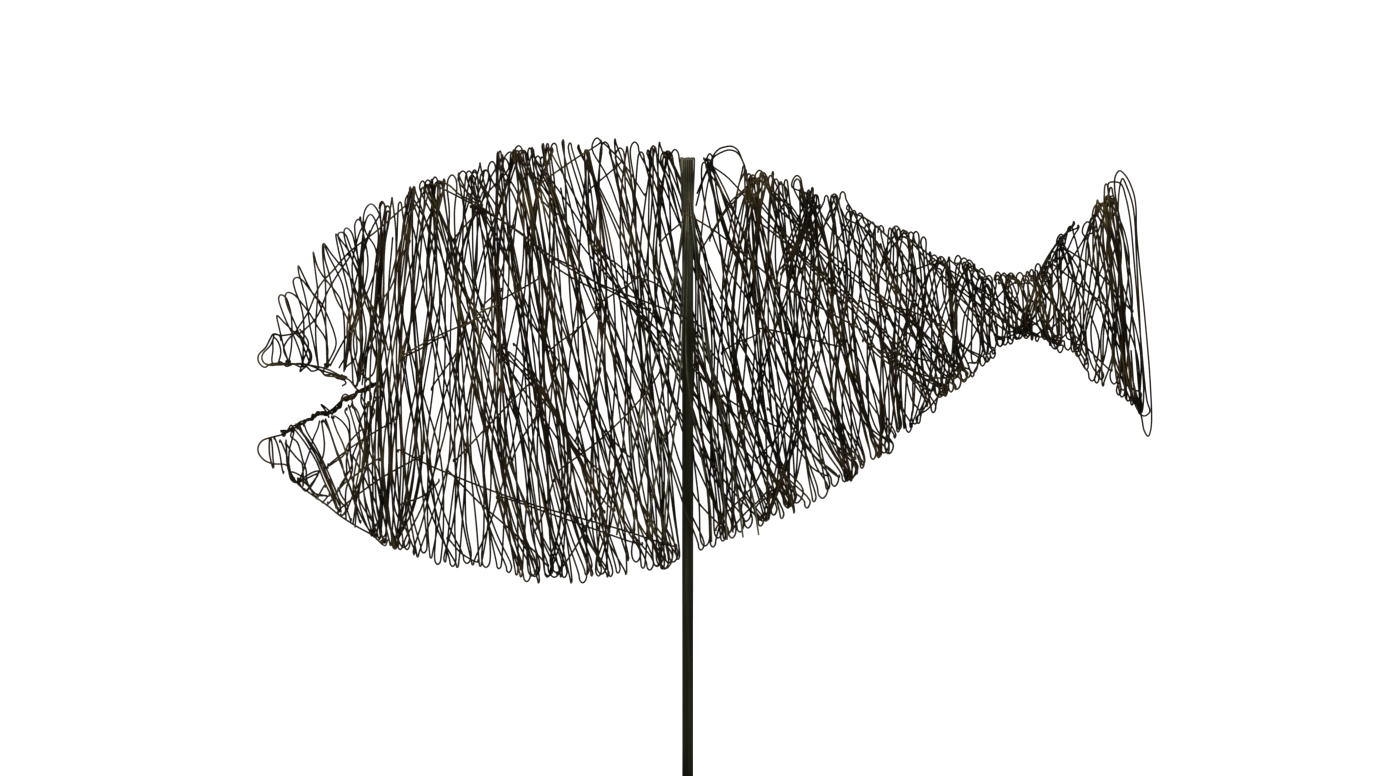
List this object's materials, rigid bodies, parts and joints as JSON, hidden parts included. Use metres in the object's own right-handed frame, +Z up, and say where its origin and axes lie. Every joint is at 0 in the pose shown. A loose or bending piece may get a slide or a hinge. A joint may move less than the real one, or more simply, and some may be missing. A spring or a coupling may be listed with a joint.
{
  "type": "wire fish sculpture on a post",
  "caption": "Fish with open jaws and forked tail, wound from thin black wire, carried on a square steel post with a low rectangular base.",
  "frame": {"origin": "centre of the base plate's underside, on the axis of the post", "axes": "+Z up along the post, the fish faces -X, its near side in the picture faces -Y"},
  "size_m": [0.8049, 0.16, 0.6089],
  "materials": {
    "wire": "black annealed iron wire, dull, faintly rusted",
    "post": "hot rolled square bar with dark mill scale",
    "base": "hot rolled plate with dark mill scale"
  },
  "bodies": {
    "root": {"wire_fish": "wire", "steel_post": "post", "steel_base": "base"}
  },
  "joints": []
}
